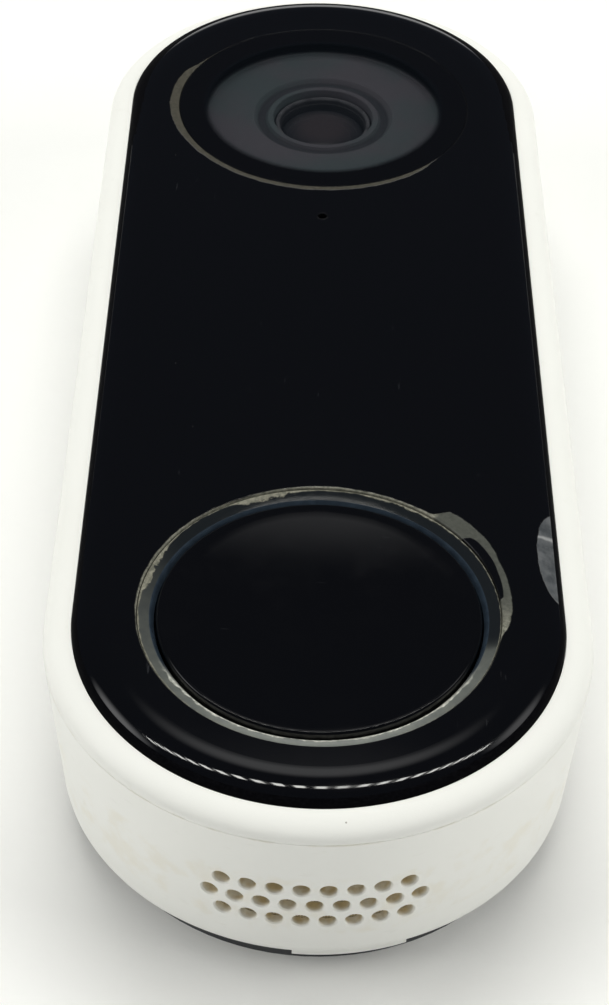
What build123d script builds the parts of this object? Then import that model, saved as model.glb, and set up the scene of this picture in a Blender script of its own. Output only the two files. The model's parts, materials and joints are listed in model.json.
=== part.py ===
"""Wired video doorbell, modelled lying on its back as an assembly of separate pieces.

Frame: +Z points out of the front face, +Y towards the camera end, +X to the right.
Origin: centre of the wall plate's back face. All lengths are millimetres.
"""
import os
from math import atan2, cos, degrees, radians, sin

from build123d import *

os.makedirs("parts", exist_ok=True)

# Driving dimensions -----------------------------------------------------------------------------
LENGTH = 117.0
WIDTH = 43.0
DEPTH = 19.3

BODY_R = WIDTH / 2
SPAN = LENGTH / 2 - BODY_R  # half the distance between the two end centres
PANEL_R = 19.2
PANEL_BEVEL = 3.0
PANEL_EDGE_Z = 18.15
PANEL_BACK_Z = 17.4
SEAM_Z = 16.7
SEAM_GAP = 0.06

PLATE_R = 18.6
PLATE_T = 1.7
SHELL_Z = 1.9
SHELL_FOOT_R = 20.5
SHELL_BORE_R = 19.2
SHELL_EDGE_FILLET = 1.0
COVER_Z = 2.0
COVER_T = 1.8
COVER_R = 19.05
FRAME_R = 18.2
FRAME_TOP_Z = 17.2
FRAME_PLATE_T = 1.4
FRAME_WALL = 1.2

# Camera end
CAMERA_Y = SPAN - 2.0
WINDOW_R = 14.4
WINDOW_T = 1.0
APERTURE_R = 12.6
SHROUD_R = 12.3
ANNULUS_R = 11.5
ANNULUS_Z = 18.05
CONE_TOP_R = 7.0
CONE_FOOT_R = 5.2
CONE_FOOT_Z = 16.4
BARREL_R = 4.8
BARREL_TOP_Z = 17.2
LENS_R = 4.15
LENS_SEAT_Z = 14.7
CAMERA_BOARD_Z = 7.8
BOARD_T = 0.8

# Button end
RING_HOLE_R = 14.2
RING_R = 14.15
RING_BORE_R = 12.85
RING_TOP_Z = 19.15
CAP_R = 12.7
CAP_TOP_Z = 18.95
CAP_FLANGE_R = 13.4
BUTTON_TRAVEL = 0.4
LIGHT_BOARD_Z = 12.6
LIGHT_BOARD_R = 15.2
LED_COUNT = 16
LED_CIRCLE_R = 13.9

# Speaker grille
HOLE_R = 0.65
HOLE_ROWS = ((11.0, 8), (9.1, 9), (7.2, 8))  # height of the row, number of holes
HOLE_STEP_DEG = 5.5
SPEAKER_Z = 8.2
SPEAKER_W = 18.0
SPEAKER_H = 8.0
SPEAKER_FRONT = -52.8
POCKET_R = 20.0  # thinner wall behind the grille, where the speaker mesh sits
POCKET_Z = 4.8
POCKET_HEIGHT = 8.1
POCKET_WIDTH = 20.4

# Boards and the back
MAIN_BOARD_Z = 10.4
MAIN_BOARD_T = 1.0
TERMINAL_Y = -12.0
TERMINAL_X = 5.5
WIRE_OPENING = (22.0, 13.0)
WALL_HOLE_SPACING = 76.0
WALL_HOLE_R = 2.1
COVER_SCREWS = [(15.6, 28.0), (-15.6, 28.0), (15.6, -28.0), (-15.6, -28.0)]
BOARD_SCREWS = [(10.8, 24.0), (-10.8, 24.0), (10.8, -23.0), (-10.8, -23.0)]
MIC_Y = 15.7
PORT_Y = 16.0
RESET_X = 9.5
LATCH_Y = -SPAN - 15.6
TONGUE_Y = SPAN + 15.0

LOW = (Align.CENTER, Align.CENTER, Align.MIN)
HIGH = (Align.CENTER, Align.CENTER, Align.MAX)
pieces = {}


# Helpers ----------------------------------------------------------------------------------------
def racetrack(radius, mode=Mode.ADD):
    """Sketch of two end arcs joined by straight sides."""
    SlotCenterToCenter(2 * SPAN, 2 * radius, rotation=90, mode=mode)


def rim_path(radius):
    """Closed path round the racetrack, starting on the right side at the button end."""
    with BuildLine() as path:
        Line((radius, -SPAN), (radius, SPAN))
        CenterArc((0, SPAN), radius, 0, 180)
        Line((-radius, SPAN), (-radius, -SPAN))
        CenterArc((0, -SPAN), radius, 180, 180)
    return path.wire()


def box(x, y, z, size, mode=Mode.ADD):
    """Box standing on height z, centred on x and y."""
    with Locations((x, y, z)):
        Box(*size, align=LOW, mode=mode)


def disc(x, y, z, radius, height, mode=Mode.ADD):
    """Upright cylinder standing on height z."""
    with Locations((x, y, z)):
        Cylinder(radius, height, align=LOW, mode=mode)


def ring(x, y, z, outer, bore, height):
    """Flat annulus standing on height z."""
    disc(x, y, z, outer, height)
    disc(x, y, z, bore, height, Mode.SUBTRACT)


def chip(name, x, y, z, size, corner=0.3):
    """Small rectangular component with softened upright corners."""
    with BuildPart() as piece:
        box(x, y, z, size)
        fillet(piece.edges().filter_by(Axis.Z), corner)
    pieces[name] = piece


def grille_arc(inner, outer, width):
    """Sketch of the strip of the button end's wall that lies behind the grille."""
    with Locations((0, -SPAN)):
        Circle(outer)
        Circle(inner, mode=Mode.SUBTRACT)
    with Locations((0, -SPAN - outer)):
        Rectangle(width, 8, mode=Mode.INTERSECT)


def end_wall_plane(angle_deg, radius, z):
    """Plane on the button end's wall, facing outwards, at an angle from the -Y direction."""
    angle = radians(angle_deg)
    outward = (sin(angle), -cos(angle), 0)
    return Plane((radius * outward[0], -SPAN + radius * outward[1], z), x_dir=(0, 0, 1), z_dir=outward)


# Wall plate and its release latch ---------------------------------------------------------------
LATCH_SLOT = (8.2, 3.4)
LATCH_PIN_R = 0.5
LATCH_PIN_Z = PLATE_T / 2

with BuildPart() as wall_plate:
    with BuildSketch():
        racetrack(PLATE_R)
        with Locations((0, TERMINAL_Y)):
            RectangleRounded(*WIRE_OPENING, 2, mode=Mode.SUBTRACT)
        with Locations((0, LATCH_Y)):
            Rectangle(*LATCH_SLOT, mode=Mode.SUBTRACT)
    extrude(amount=PLATE_T)
    chamfer(wall_plate.faces().sort_by(Axis.Z)[-1].outer_wire().edges(), 0.3)
    with Locations((0, WALL_HOLE_SPACING / 2, PLATE_T), (0, -WALL_HOLE_SPACING / 2, PLATE_T)):
        Hole(WALL_HOLE_R)
    box(0, TONGUE_Y, PLATE_T, (6.5, 1.4, 2.6))
    with Locations((0, LATCH_Y, LATCH_PIN_Z)):
        Cylinder(LATCH_PIN_R + 0.05, LATCH_SLOT[0] + 4, rotation=(0, 90, 0), mode=Mode.SUBTRACT)
pieces["wall_plate"] = wall_plate

with BuildPart() as release_latch:
    box(0, LATCH_Y, 0.25, (6.6, 1.2, 3.6))
    fillet(release_latch.faces().sort_by(Axis.Z)[-1].edges().filter_by(Axis.X), 0.4)
    with Locations((0, LATCH_Y, LATCH_PIN_Z)):
        Cylinder(LATCH_PIN_R, LATCH_SLOT[0] + 3.6, rotation=(0, 90, 0))
pieces["release_latch"] = release_latch

# Rear cover with its terminal recess, slots and screw seats -------------------------------------
RECESS_COLLAR_Z = 6.0
COVER_TOP_Z = COVER_Z + COVER_T
HEAD_POCKET_R = 4.2  # room for the wall screws' heads
HEAD_POCKET_DEPTH = 1.2

with BuildPart() as rear_cover:
    with BuildSketch(Plane.XY.offset(COVER_Z)):
        racetrack(COVER_R)
    extrude(amount=COVER_T)
    chamfer(rear_cover.faces().sort_by(Axis.Z)[0].outer_wire().edges(), 0.3)
    with BuildSketch(Plane.XY.offset(COVER_TOP_Z)):
        with Locations((0, TERMINAL_Y)):
            RectangleRounded(WIRE_OPENING[0] + 2, WIRE_OPENING[1] + 2, 2)
    extrude(amount=RECESS_COLLAR_Z - COVER_TOP_Z)
    with BuildSketch(Plane.XY.offset(COVER_Z)):
        with Locations((0, TERMINAL_Y)):
            RectangleRounded(*WIRE_OPENING, 1.5)
        with Locations((0, LATCH_Y), (0, TONGUE_Y)):
            Rectangle(8.4, 3.2)
        with Locations((0, PORT_Y)):
            RectangleRounded(8.6, 4.0, 1.2)
        with Locations((RESET_X, PORT_Y)):
            Circle(1.0)
    extrude(amount=RECESS_COLLAR_Z - COVER_Z, mode=Mode.SUBTRACT)
    with Locations(*[(x, y, COVER_Z) for x, y in COVER_SCREWS]):
        Cylinder(1.1, COVER_T, align=LOW, mode=Mode.SUBTRACT)
        Cylinder(2.3, 1.0, align=LOW, mode=Mode.SUBTRACT)
    for side in (1, -1):
        disc(0, side * WALL_HOLE_SPACING / 2, COVER_Z, HEAD_POCKET_R, HEAD_POCKET_DEPTH, Mode.SUBTRACT)
pieces["rear_cover"] = rear_cover

with BuildPart() as rear_gasket:
    with BuildSketch(Plane.XY.offset(COVER_TOP_Z)):
        racetrack(COVER_R)
        racetrack(FRAME_R + 0.1, Mode.SUBTRACT)
    extrude(amount=0.6)
pieces["rear_gasket"] = rear_gasket

with BuildPart() as cover_screws:
    with Locations(*[(x, y, COVER_Z + 0.1) for x, y in COVER_SCREWS]):
        Cylinder(2.0, 0.9, align=LOW)
        Cylinder(0.95, 6.0, align=LOW)
    with Locations(*[(x, y, COVER_Z + 0.1) for x, y in COVER_SCREWS]):
        Box(2.2, 0.5, 0.5, align=LOW, mode=Mode.SUBTRACT)
        Box(0.5, 2.2, 0.5, align=LOW, mode=Mode.SUBTRACT)
pieces["cover_screws"] = cover_screws

# White housing ----------------------------------------------------------------------------------
LIP_DROP = 0.45  # small tab on the rear edge at the button end
LIP_X = 2.8
LIP_WIDTH = 8.8
wall_taper = degrees(atan2(BODY_R - SHELL_FOOT_R, SEAM_Z - SHELL_Z))

with BuildPart() as back_shell:
    with BuildSketch(Plane.XY.offset(SHELL_Z)):
        racetrack(SHELL_FOOT_R)
    extrude(amount=SEAM_Z - SHELL_Z, taper=-wall_taper)
    fillet(back_shell.faces().sort_by(Axis.Z)[0].outer_wire().edges(), SHELL_EDGE_FILLET)
    chamfer(back_shell.faces().sort_by(Axis.Z)[-1].outer_wire().edges(), 0.08)
    with BuildSketch(Plane.XY.offset(SHELL_Z)):
        racetrack(SHELL_BORE_R)
    extrude(amount=SEAM_Z - SHELL_Z, mode=Mode.SUBTRACT)
    with BuildSketch(Plane.XY.offset(POCKET_Z)):
        grille_arc(SHELL_BORE_R - 0.2, POCKET_R, POCKET_WIDTH)
    extrude(amount=POCKET_HEIGHT, mode=Mode.SUBTRACT)
    for row_z, count in HOLE_ROWS:
        for i in range(count):
            angle = (i - (count - 1) / 2) * HOLE_STEP_DEG
            with BuildSketch(end_wall_plane(angle, SHELL_BORE_R - 0.5, row_z)):
                Circle(HOLE_R)
            extrude(amount=3.5, mode=Mode.SUBTRACT)
    with BuildSketch(Plane.XY.offset(SHELL_Z - LIP_DROP)):
        with Locations((0, -SPAN)):
            Circle(SHELL_BORE_R + 0.4)
            Circle(SHELL_BORE_R, mode=Mode.SUBTRACT)
        with Locations((LIP_X, -SPAN - SHELL_BORE_R)):
            Rectangle(LIP_WIDTH, 4, mode=Mode.INTERSECT)
    extrude(amount=LIP_DROP + 0.45)
pieces["back_shell"] = back_shell

TONGUE_R = 18.4  # the front shell's tongue reaches down inside the back shell
TONGUE_FOOT_Z = 15.2
FIT = 0.08  # clearance all round between the two shells and the panel

with BuildPart() as front_shell:
    with BuildSketch(Plane.XZ.offset(SPAN)):
        with BuildLine():
            tongue = Line((TONGUE_R, TONGUE_FOOT_Z), (SHELL_BORE_R - FIT, TONGUE_FOOT_Z))
            inner = Line(tongue @ 1, (SHELL_BORE_R - FIT, SEAM_Z + SEAM_GAP))
            seam = Line(inner @ 1, (BODY_R - FIT, SEAM_Z + SEAM_GAP))
            edge = Line(seam @ 1, (BODY_R, SEAM_Z + SEAM_GAP + FIT))
            shoulder = Spline(edge @ 1, (PANEL_R + FIT, PANEL_EDGE_Z + 0.02), tangents=((0, 1), (-1, 0.12)))
            lip = Line(shoulder @ 1, (PANEL_R + FIT, PANEL_BACK_Z - 0.02))
            ledge = Line(lip @ 1, (TONGUE_R, PANEL_BACK_Z - 0.02))
            Line(ledge @ 1, tongue @ 0)
        make_face()
    sweep(path=rim_path(SHELL_BORE_R))
pieces["front_shell"] = front_shell

# Black front panel ------------------------------------------------------------------------------
BEVEL_START_R = PANEL_R - PANEL_BEVEL

with BuildPart() as front_panel:
    with BuildSketch(Plane.XZ.offset(SPAN)):
        with BuildLine():
            back = Line((BEVEL_START_R - 0.5, PANEL_BACK_Z), (PANEL_R, PANEL_BACK_Z))
            side = Line(back @ 1, (PANEL_R, PANEL_EDGE_Z))
            bevel = EllipticalCenterArc(
                (BEVEL_START_R, PANEL_EDGE_Z), PANEL_BEVEL, DEPTH - PANEL_EDGE_Z, start_angle=0, arc_size=90
            )
            face = Line((BEVEL_START_R, DEPTH), (BEVEL_START_R - 0.5, DEPTH))
            Line(face @ 1, back @ 0)
        make_face()
    sweep(path=rim_path(BEVEL_START_R))
    with BuildSketch(Plane.XY.offset(PANEL_BACK_Z)):
        racetrack(BEVEL_START_R - 0.2)
    extrude(amount=DEPTH - PANEL_BACK_Z)
    disc(0, -SPAN, PANEL_BACK_Z, RING_HOLE_R, 3, Mode.SUBTRACT)
    disc(0, CAMERA_Y, PANEL_BACK_Z, APERTURE_R, 3, Mode.SUBTRACT)
    disc(0, CAMERA_Y, DEPTH - WINDOW_T - 0.1, WINDOW_R + 0.05, 3, Mode.SUBTRACT)
    disc(0, MIC_Y, PANEL_BACK_Z, 0.5, 3, Mode.SUBTRACT)
pieces["front_panel"] = front_panel

with BuildPart() as panel_adhesive:
    with BuildSketch(Plane.XY.offset(FRAME_TOP_Z)):
        racetrack(FRAME_R - 0.1)
        racetrack(FRAME_R - 1.7, Mode.SUBTRACT)
    extrude(amount=PANEL_BACK_Z - FRAME_TOP_Z)
pieces["panel_adhesive"] = panel_adhesive

# Mid frame that carries the boards --------------------------------------------------------------
FRAME_FOOT_Z = 4.5
FRAME_PLATE_Z = FRAME_TOP_Z - FRAME_PLATE_T

with BuildPart() as mid_frame:
    with BuildSketch(Plane.XY.offset(FRAME_FOOT_Z)):
        racetrack(FRAME_R)
    extrude(amount=FRAME_TOP_Z - FRAME_FOOT_Z)
    with BuildSketch(Plane.XY.offset(FRAME_FOOT_Z)):
        racetrack(FRAME_R - FRAME_WALL)
    extrude(amount=FRAME_PLATE_Z - FRAME_FOOT_Z, mode=Mode.SUBTRACT)
    disc(0, -SPAN, FRAME_PLATE_Z, RING_HOLE_R + 0.1, 2, Mode.SUBTRACT)
    disc(0, CAMERA_Y, FRAME_PLATE_Z, APERTURE_R, 2, Mode.SUBTRACT)
    disc(0, MIC_Y, FRAME_PLATE_Z, 0.8, 2, Mode.SUBTRACT)
    disc(0, MIC_Y, FRAME_TOP_Z - 0.4, 1.7, 2, Mode.SUBTRACT)
    with Locations(*[(x, y, FRAME_FOOT_Z) for x, y in COVER_SCREWS]):
        Cylinder(2.2, FRAME_PLATE_Z - FRAME_FOOT_Z, align=LOW)
    with Locations(*[(x, y, MAIN_BOARD_Z + MAIN_BOARD_T) for x, y in BOARD_SCREWS]):
        Cylinder(2.0, FRAME_PLATE_Z - MAIN_BOARD_Z - MAIN_BOARD_T, align=LOW)
    with BuildSketch(Plane.XY.offset(FRAME_FOOT_Z)):
        racetrack(FRAME_R + 3)
        racetrack(FRAME_R, Mode.SUBTRACT)
    extrude(amount=FRAME_TOP_Z, mode=Mode.SUBTRACT)
    with Locations(*[(x, y, FRAME_FOOT_Z) for x, y in COVER_SCREWS]):
        Cylinder(1.0, 5.0, align=LOW, mode=Mode.SUBTRACT)
    with Locations(*[(x, y, MAIN_BOARD_Z + MAIN_BOARD_T) for x, y in BOARD_SCREWS]):
        Cylinder(0.8, 3.4, align=LOW, mode=Mode.SUBTRACT)
    box(0, SPEAKER_FRONT, FRAME_FOOT_Z, (22, 8, 8.1), Mode.SUBTRACT)
pieces["mid_frame"] = mid_frame

# Camera ------------------------------------------------------------------------------------------
with BuildPart() as camera_window:
    disc(0, CAMERA_Y, DEPTH - WINDOW_T, WINDOW_R, WINDOW_T)
    chamfer(camera_window.faces().sort_by(Axis.Z)[-1].edges(), 0.08)
pieces["camera_window"] = camera_window

with BuildPart() as window_gasket:
    ring(0, CAMERA_Y, DEPTH - WINDOW_T - 0.1, WINDOW_R - 0.1, APERTURE_R + 0.1, 0.1)
pieces["window_gasket"] = window_gasket

with BuildPart() as camera_shroud:
    with BuildSketch(Plane.XZ.offset(-CAMERA_Y)):
        with BuildLine():
            Polyline(
                (ANNULUS_R, 13.2), (SHROUD_R, 13.2), (SHROUD_R, 18.2), (ANNULUS_R, 18.2),
                (ANNULUS_R, ANNULUS_Z), (CONE_TOP_R, ANNULUS_Z), (CONE_FOOT_R, CONE_FOOT_Z),
                (CONE_FOOT_R, CONE_FOOT_Z - 0.6), (CONE_TOP_R, ANNULUS_Z - 0.7),
                (ANNULUS_R, ANNULUS_Z - 0.7), close=True,
            )
        make_face()
    revolve(axis=Axis((0, CAMERA_Y, 0), (0, 0, 1)))
pieces["camera_shroud"] = camera_shroud

IR_BOARD_Z = 13.4
with BuildPart() as ir_board:
    ring(0, CAMERA_Y, IR_BOARD_Z, ANNULUS_R - 0.2, 6.2, BOARD_T)
pieces["ir_board"] = ir_board

with BuildPart() as ir_leds:
    with BuildSketch(Plane.XY.offset(IR_BOARD_Z + BOARD_T)):
        with Locations((0, CAMERA_Y)):
            with PolarLocations(9.2, 6, 30):
                RectangleRounded(2.8, 2.8, 0.4)
    extrude(amount=0.9)
    with Locations((0, CAMERA_Y, IR_BOARD_Z + BOARD_T + 0.9)):
        with PolarLocations(9.2, 6, 30):
            Cylinder(1.1, 0.7, align=LOW)
pieces["ir_leds"] = ir_leds

with BuildPart() as lens_barrel:
    disc(0, CAMERA_Y, 10.5, BARREL_R, BARREL_TOP_Z - 10.5)
    disc(0, CAMERA_Y, LENS_SEAT_Z, LENS_R + 0.05, 4, Mode.SUBTRACT)
    disc(0, CAMERA_Y, 11.0, 2.65, 5, Mode.SUBTRACT)
    disc(0, CAMERA_Y, 10.5, 2.2, 2, Mode.SUBTRACT)
    chamfer(lens_barrel.faces().sort_by(Axis.Z)[-1].inner_wires()[0].edges(), 0.2)
pieces["lens_barrel"] = lens_barrel

LENS_EDGE_Z = 15.8
LENS_DOME = 0.95
LENS_FACE_R = (LENS_R**2 + LENS_DOME**2) / (2 * LENS_DOME)
with BuildPart() as front_lens:
    with BuildSketch(Plane.XZ.offset(-CAMERA_Y)):
        with BuildLine():
            foot = Line((0, LENS_SEAT_Z), (LENS_R, LENS_SEAT_Z))
            rim = Line(foot @ 1, (LENS_R, LENS_EDGE_Z))
            dome = RadiusArc(rim @ 1, (0, LENS_EDGE_Z + LENS_DOME), -LENS_FACE_R)
            Line(dome @ 1, foot @ 0)
        make_face()
    revolve(axis=Axis((0, CAMERA_Y, 0), (0, 0, 1)))
pieces["front_lens"] = front_lens

with BuildPart() as rear_lens:
    disc(0, CAMERA_Y, 11.0, 2.6, 1.2)
    fillet(rear_lens.faces().sort_by(Axis.Z)[-1].edges(), 0.5)
pieces["rear_lens"] = rear_lens

SENSOR_Z = CAMERA_BOARD_Z + BOARD_T
with BuildPart() as lens_holder:
    box(1.6, CAMERA_Y, SENSOR_Z, (16.4, 13, 4.0))
    fillet(lens_holder.edges().filter_by(Axis.Z), 0.8)
    box(0, CAMERA_Y, SENSOR_Z, (9.6, 8.6, 0.8), Mode.SUBTRACT)
    box(2.9, CAMERA_Y, 9.3, (12.6, 6.8, 1.0), Mode.SUBTRACT)
    disc(0, CAMERA_Y, 10.3, BARREL_R + 0.03, 4, Mode.SUBTRACT)
pieces["lens_holder"] = lens_holder

chip("ir_cut_filter", 0, CAMERA_Y, 9.5, (6.0, 6.2, 0.5))
chip("image_sensor", 0, CAMERA_Y, SENSOR_Z, (8.6, 7.6, 0.5))

with BuildPart() as camera_board:
    box(1.6, CAMERA_Y + 1.5, CAMERA_BOARD_Z, (20, 17, BOARD_T))
    fillet(camera_board.edges().filter_by(Axis.Z), 1.5)
pieces["camera_board"] = camera_board

with BuildPart() as camera_flex:
    box(0, 29.1, CAMERA_BOARD_Z - 0.2, (8, 2.6, 0.2))
    box(0, 27.8, CAMERA_BOARD_Z - 0.2, (8, 0.2, 4.0))
    box(0, 25.3, 11.4, (8, 5.2, 0.2))
pieces["camera_flex"] = camera_flex

# Button, light ring and switch ------------------------------------------------------------------
RING_FOOT_Z = 14.4
with BuildPart() as light_ring:
    ring(0, -SPAN, 17.0, RING_R, RING_BORE_R, RING_TOP_Z - 17.0)
    fillet(light_ring.faces().sort_by(Axis.Z)[-1].edges(), 0.15)
    ring_skirt_bore = CAP_FLANGE_R + 0.15
    with BuildSketch(Plane.XY.offset(RING_FOOT_Z)):
        with Locations((0, -SPAN)):
            Circle(RING_R)
            Circle(ring_skirt_bore, mode=Mode.SUBTRACT)
    extrude(amount=17.1 - RING_FOOT_Z)
pieces["light_ring"] = light_ring

STEM_TOP_Z = 15.2
CAP_FOOT_Z = 16.1
CAP_WALL = 1.2
CAP_HOLLOW = 1.6
CAP_DISH = 0.6  # depth of the shallow dish in the cap's face
CAP_DISH_R = CAP_R - 0.4
DISH_SPHERE_R = (CAP_DISH_R**2 + CAP_DISH**2) / (2 * CAP_DISH)
with BuildPart() as button_cap:
    disc(0, -SPAN, CAP_FOOT_Z, CAP_R, CAP_TOP_Z - CAP_FOOT_Z)
    fillet(button_cap.faces().sort_by(Axis.Z)[-1].edges(), 0.35)
    with Locations((0, -SPAN, CAP_TOP_Z - CAP_DISH + DISH_SPHERE_R)):
        Sphere(DISH_SPHERE_R, mode=Mode.SUBTRACT)
    disc(0, -SPAN, CAP_FOOT_Z, CAP_R - CAP_WALL, CAP_HOLLOW, Mode.SUBTRACT)
    ring(0, -SPAN, CAP_FOOT_Z, CAP_FLANGE_R, CAP_R - CAP_WALL, 0.6)
    disc(0, -SPAN, STEM_TOP_Z, 2.4, CAP_FOOT_Z + CAP_HOLLOW + 0.2 - STEM_TOP_Z)
pieces["button_cap"] = button_cap

with BuildPart() as button_seal:
    ring(0, -SPAN, 14.9, ring_skirt_bore - 0.1, 9.5, 0.5)
    ring(0, -SPAN, LIGHT_BOARD_Z + BOARD_T, 11.4, 10.2, 1.5)
pieces["button_seal"] = button_seal

with BuildPart() as led_board:
    disc(0, -SPAN, LIGHT_BOARD_Z, LIGHT_BOARD_R, BOARD_T)
pieces["led_board"] = led_board

with BuildPart() as ring_leds:
    with Locations((0, -SPAN, LIGHT_BOARD_Z + BOARD_T)):
        with PolarLocations(LED_CIRCLE_R, LED_COUNT):
            Box(0.9, 1.6, 0.6, align=LOW)
pieces["ring_leds"] = ring_leds

SWITCH_Z = LIGHT_BOARD_Z + BOARD_T
with BuildPart() as tactile_switch:
    box(0, -SPAN, SWITCH_Z, (5.2, 5.2, 1.0))
    fillet(tactile_switch.edges().filter_by(Axis.Z), 0.4)
    disc(0, -SPAN, SWITCH_Z, 1.25, 2, Mode.SUBTRACT)
pieces["tactile_switch"] = tactile_switch

with BuildPart() as switch_stem:
    disc(0, -SPAN, SWITCH_Z + BUTTON_TRAVEL + 0.1, 1.2, STEM_TOP_Z - SWITCH_Z - BUTTON_TRAVEL - 0.1)
pieces["switch_stem"] = switch_stem

# Microphone --------------------------------------------------------------------------------------
with BuildPart() as microphone:
    box(0, MIC_Y, FRAME_PLATE_Z - 1.2, (3.8, 3.0, 1.2))
    disc(0, MIC_Y, FRAME_PLATE_Z - 0.3, 0.4, 1, Mode.SUBTRACT)
pieces["microphone"] = microphone

with BuildPart() as mic_mesh:
    disc(0, MIC_Y, FRAME_TOP_Z - 0.4, 1.6, 0.2)
pieces["mic_mesh"] = mic_mesh

# Main board and what it carries ------------------------------------------------------------------
BOARD_TOP_Z = MAIN_BOARD_Z + MAIN_BOARD_T
with BuildPart() as main_board:
    with BuildSketch(Plane.XY.offset(MAIN_BOARD_Z)):
        with Locations((0, -9)):
            RectangleRounded(26, 72, 3)
        with Locations(*BOARD_SCREWS):
            Circle(0.9, mode=Mode.SUBTRACT)
    extrude(amount=MAIN_BOARD_T)
pieces["main_board"] = main_board

with BuildPart() as board_screws:
    with Locations(*[(x, y, MAIN_BOARD_Z) for x, y in BOARD_SCREWS]):
        Cylinder(1.6, 0.9, align=HIGH)
        Cylinder(0.75, 4.2, align=LOW)
    with Locations(*[(x, y, MAIN_BOARD_Z - 0.9) for x, y in BOARD_SCREWS]):
        Box(1.8, 0.4, 0.4, align=LOW, mode=Mode.SUBTRACT)
        Box(0.4, 1.8, 0.4, align=LOW, mode=Mode.SUBTRACT)
pieces["board_screws"] = board_screws

chip("board_connector", 0, -30, BOARD_TOP_Z, (8, 2.4, LIGHT_BOARD_Z - BOARD_TOP_Z))
chip("processor", 0, 4, BOARD_TOP_Z, (12, 12, 1.4))
chip("thermal_pad", 0, 4, BOARD_TOP_Z + 1.4, (11, 11, 0.7))
chip("heat_spreader", 0, 4, BOARD_TOP_Z + 2.1, (28, 17, 0.8), 2)
chip("wifi_module", -5, -13, BOARD_TOP_Z, (10, 12, 2.2))
chip("antenna", -FRAME_R + FRAME_WALL + 0.25, -6, 11.0, (0.4, 26, 4.2), 0.1)
chip("bridge_rectifier", 9.0, 2.5, MAIN_BOARD_Z - 2.2, (5.2, 6.4, 2.2))

with BuildPart() as power_coil:
    with BuildSketch(Plane.XY.offset(MAIN_BOARD_Z - 4.6)):
        with Locations((-7.5, 6)):
            RectangleRounded(7.6, 7.6, 1.6)
    extrude(amount=4.6)
    fillet(power_coil.faces().sort_by(Axis.Z)[0].edges(), 0.5)
pieces["power_coil"] = power_coil

with BuildPart() as power_capacitors:
    with Locations((-8, -28, MAIN_BOARD_Z), (0, -28, MAIN_BOARD_Z), (8, -28, MAIN_BOARD_Z)):
        Cylinder(3.1, 5.4, align=HIGH)
    fillet(power_capacitors.faces().filter_by(Axis.Z).group_by(Axis.Z)[0].edges(), 0.35)
pieces["power_capacitors"] = power_capacitors

# Wire terminals, service port and reset button at the back ---------------------------------------
BLOCK_Z = 6.0
PLATE_FACE_Z = 5.3
SCREW_R = 1.45

with BuildPart() as terminal_block:
    box(0, TERMINAL_Y, BLOCK_Z, (24, 15, MAIN_BOARD_Z - BLOCK_Z))
    fillet(terminal_block.edges().filter_by(Axis.Z), 1)
    for side in (1, -1):
        disc(side * TERMINAL_X, TERMINAL_Y, BLOCK_Z, SCREW_R + 0.05, 3.8, Mode.SUBTRACT)
pieces["terminal_block"] = terminal_block

with BuildPart() as terminal_plates:
    for side in (1, -1):
        box(side * TERMINAL_X, TERMINAL_Y, PLATE_FACE_Z, (8, 9, BLOCK_Z - PLATE_FACE_Z))
        disc(side * TERMINAL_X, TERMINAL_Y, PLATE_FACE_Z, SCREW_R + 0.05, 1, Mode.SUBTRACT)
pieces["terminal_plates"] = terminal_plates


def terminal_screw(name, x):
    """Pan head screw whose cross slot faces the wall."""
    with BuildPart() as screw:
        disc(x, TERMINAL_Y, PLATE_FACE_Z - 1.45, 2.9, 1.4)
        fillet(screw.faces().sort_by(Axis.Z)[0].edges(), 0.5)
        disc(x, TERMINAL_Y, PLATE_FACE_Z - 0.05, SCREW_R, 3.8)
        box(x, TERMINAL_Y, PLATE_FACE_Z - 1.45, (3.6, 0.8, 0.8), Mode.SUBTRACT)
        box(x, TERMINAL_Y, PLATE_FACE_Z - 1.45, (0.8, 3.6, 0.8), Mode.SUBTRACT)
    pieces[name] = screw


terminal_screw("terminal_screw_left", -TERMINAL_X)
terminal_screw("terminal_screw_right", TERMINAL_X)

with BuildPart() as service_port:
    box(0, PORT_Y, 3.2, (7.6, 3.0, MAIN_BOARD_Z - 3.2))
    fillet(service_port.edges().filter_by(Axis.Z), 0.8)
    box(0, PORT_Y, 3.2, (6.8, 2.2, 5.2), Mode.SUBTRACT)
    box(0, PORT_Y + 0.3, 4.2, (4.0, 0.6, 4.4))
pieces["service_port"] = service_port

chip("reset_switch", RESET_X, PORT_Y, 8.6, (4.2, 4.2, MAIN_BOARD_Z - 8.6))

with BuildPart() as reset_button:
    disc(RESET_X, PORT_Y, 2.5, 0.92, 5.7)
    disc(RESET_X, PORT_Y, COVER_TOP_Z + 0.05, 1.7, 0.6)
pieces["reset_button"] = reset_button

# Speaker -----------------------------------------------------------------------------------------
def speaker_plane(y):
    """Plane across the speaker's axis, facing the button end's wall."""
    return Plane((0, y, SPEAKER_Z), x_dir=(1, 0, 0), z_dir=(0, -1, 0))


def oval(shrink=0.0, mode=Mode.ADD):
    """Racetrack outline of the speaker, inset on all sides."""
    SlotOverall(SPEAKER_W - 2 * shrink, SPEAKER_H - 2 * shrink, mode=mode)


FRAME_BACK = SPEAKER_FRONT + 3.0
YOKE_DEPTH = 3.4
with BuildPart() as speaker_frame:
    with BuildSketch(speaker_plane(FRAME_BACK)):
        oval()
    extrude(amount=3.0)
    with BuildSketch(speaker_plane(FRAME_BACK - 0.8)):
        oval(0.8)
    extrude(amount=2.2, mode=Mode.SUBTRACT)
    with BuildSketch(speaker_plane(FRAME_BACK)):
        Circle(3.2)
    extrude(amount=3.0, mode=Mode.SUBTRACT)
pieces["speaker_frame"] = speaker_frame

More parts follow.
